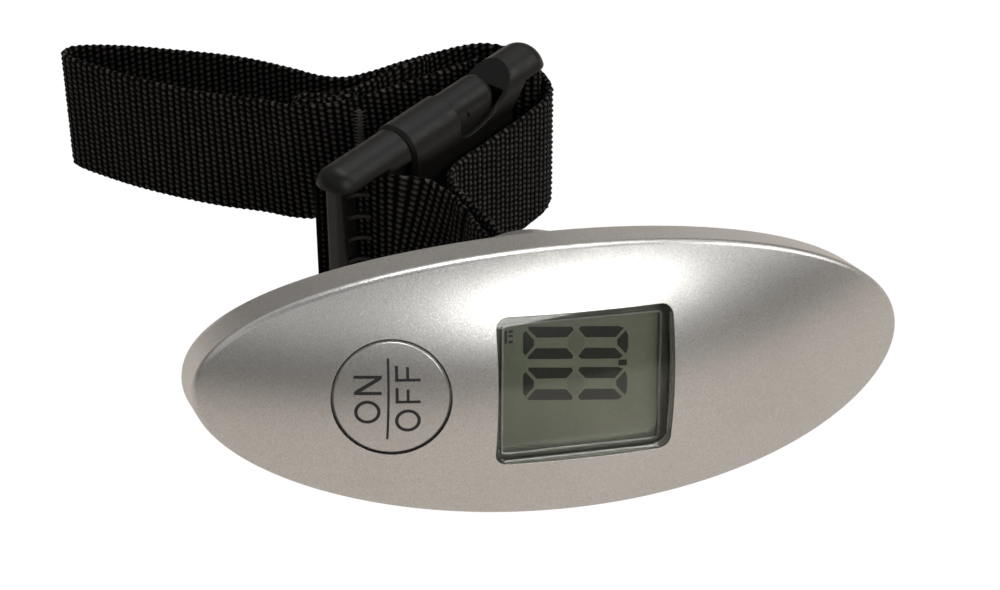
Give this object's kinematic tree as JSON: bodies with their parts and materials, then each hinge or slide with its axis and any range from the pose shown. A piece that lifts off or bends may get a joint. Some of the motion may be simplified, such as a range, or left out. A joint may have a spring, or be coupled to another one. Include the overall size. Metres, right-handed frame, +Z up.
{
  "type": "digital luggage scale",
  "caption": "Hand-held digital luggage scale: oval grip with display and power button, load-cell neck and a black webbing loop closed by a side-release buckle.",
  "frame": {"origin": "centre of the footprint, on the plane the scale stands on", "axes": "+Z up, +X along the grip towards the battery end, -Y the side the display faces, so the strap loop lies behind at +Y"},
  "size_m": [0.1214, 0.1352, 0.0463],
  "materials": {
    "housing_paint": "silver metallic lacquer on moulded plastic",
    "lens_clear": "clear moulded acrylic",
    "lcd_glass": "olive passive display panel",
    "frame_plastic": "moulded",
    "board_green": "solder mask over laminate",
    "chip_black": "moulded package",
    "strip_rubber": "conductive elastomer",
    "steel": "plated",
    "cell_aluminium": "milled",
    "gauge_film": "foil on polyimide film",
    "wire_insulation": "PVC insulation",
    "battery_can": "plated can",
    "webbing": "coarse woven webbing",
    "thread": "sewn thread",
    "buckle_plastic": "moulded acetal, fine texture"
  },
  "bodies": {
    "housing": {"back_shell": "housing_paint", "front_shell": "housing_paint", "display_lens": "lens_clear", "lcd_frame": "frame_plastic", "lcd_panel": "lcd_glass", "zebra_strips": "strip_rubber", "circuit_board": "board_green", "controller_chip": "chip_black", "power_switch": "chip_black", "unit_switch": "chip_black", "board_screws": "steel", "load_cell": "cell_aluminium", "strain_gauges": "gauge_film", "load_cell_screws": "steel", "load_cell_wires": "wire_insulation", "stirrup": "steel", "load_pin": "steel", "battery_cell": "battery_can", "battery_contact_negative": "steel", "battery_contact_positive": "steel", "battery_wires": "wire_insulation", "housing_screws": "steel"},
    "power_button": {"power_button": "housing_paint"},
    "switch_plunger": {"power_switch_plunger": "frame_plastic"},
    "unit_button": {"unit_button": "frame_plastic"},
    "battery_cover": {"battery_cover": "housing_paint"},
    "strap": {"strap_webbing": "webbing", "bar_tack_stitching": "thread", "buckle_socket": "buckle_plastic"},
    "plug": {"buckle_plug": "buckle_plastic", "strap_adjuster_end": "webbing"},
    "prong_upper": {"release_prong_upper": "buckle_plastic"},
    "prong_lower": {"release_prong_lower": "buckle_plastic"}
  },
  "joints": [
    {"name": "power_button_press", "type": "slide", "parent": "housing", "child": "power_button", "axis": [0.2305, 0.921, -0.3141], "range_m": [0, 0.0008], "stiffness_N_per_m": 700},
    {"name": "switch_plunger_press", "type": "slide", "parent": "housing", "child": "switch_plunger", "axis": [-0.0305, 0.9541, -0.2978], "range_m": [0, 0.0004]},
    {"name": "unit_button_press", "type": "slide", "parent": "housing", "child": "unit_button", "axis": [0.0305, -0.9541, 0.2978], "range_m": [0, 0.0006], "stiffness_N_per_m": 700},
    {"name": "battery_cover_open", "type": "hinge", "parent": "housing", "child": "battery_cover", "pos_m": [0.04531, -0.04137, 0.01452], "axis": [-0.0972, -0.2994, -0.9492], "range_deg": [0, 70]},
    {"name": "strap_swing", "type": "hinge", "parent": "housing", "child": "strap", "pos_m": [0.00062, -0.03698, 0.01772], "axis": [0.0972, 0.2994, 0.9492], "range_deg": [-25, 10]},
    {"name": "buckle_release", "type": "slide", "parent": "strap", "child": "plug", "axis": [-0.8161, -0.5779, 0], "range_m": [0, 0.03], "deforming": ["release_prong_upper", "release_prong_lower"]},
    {"name": "prong_upper_squeeze", "type": "hinge", "parent": "plug", "child": "prong_upper", "pos_m": [-0.01181, 0.00712, 0.0262], "axis": [-0.5779, 0.8161, 0], "range_deg": [0, 7.5], "stiffness_Nm_per_rad": 0.3},
    {"name": "prong_lower_squeeze", "type": "hinge", "parent": "plug", "child": "prong_lower", "pos_m": [-0.01181, 0.00712, 0.0072], "axis": [0.5779, -0.8161, 0], "range_deg": [0, 7.5]}
  ],
  "couplings": [
    {"joint": "switch_plunger_press", "follows": "power_button_press", "ratio": 0.5},
    {"joint": "prong_lower_squeeze", "follows": "prong_upper_squeeze", "ratio": 1}
  ]
}
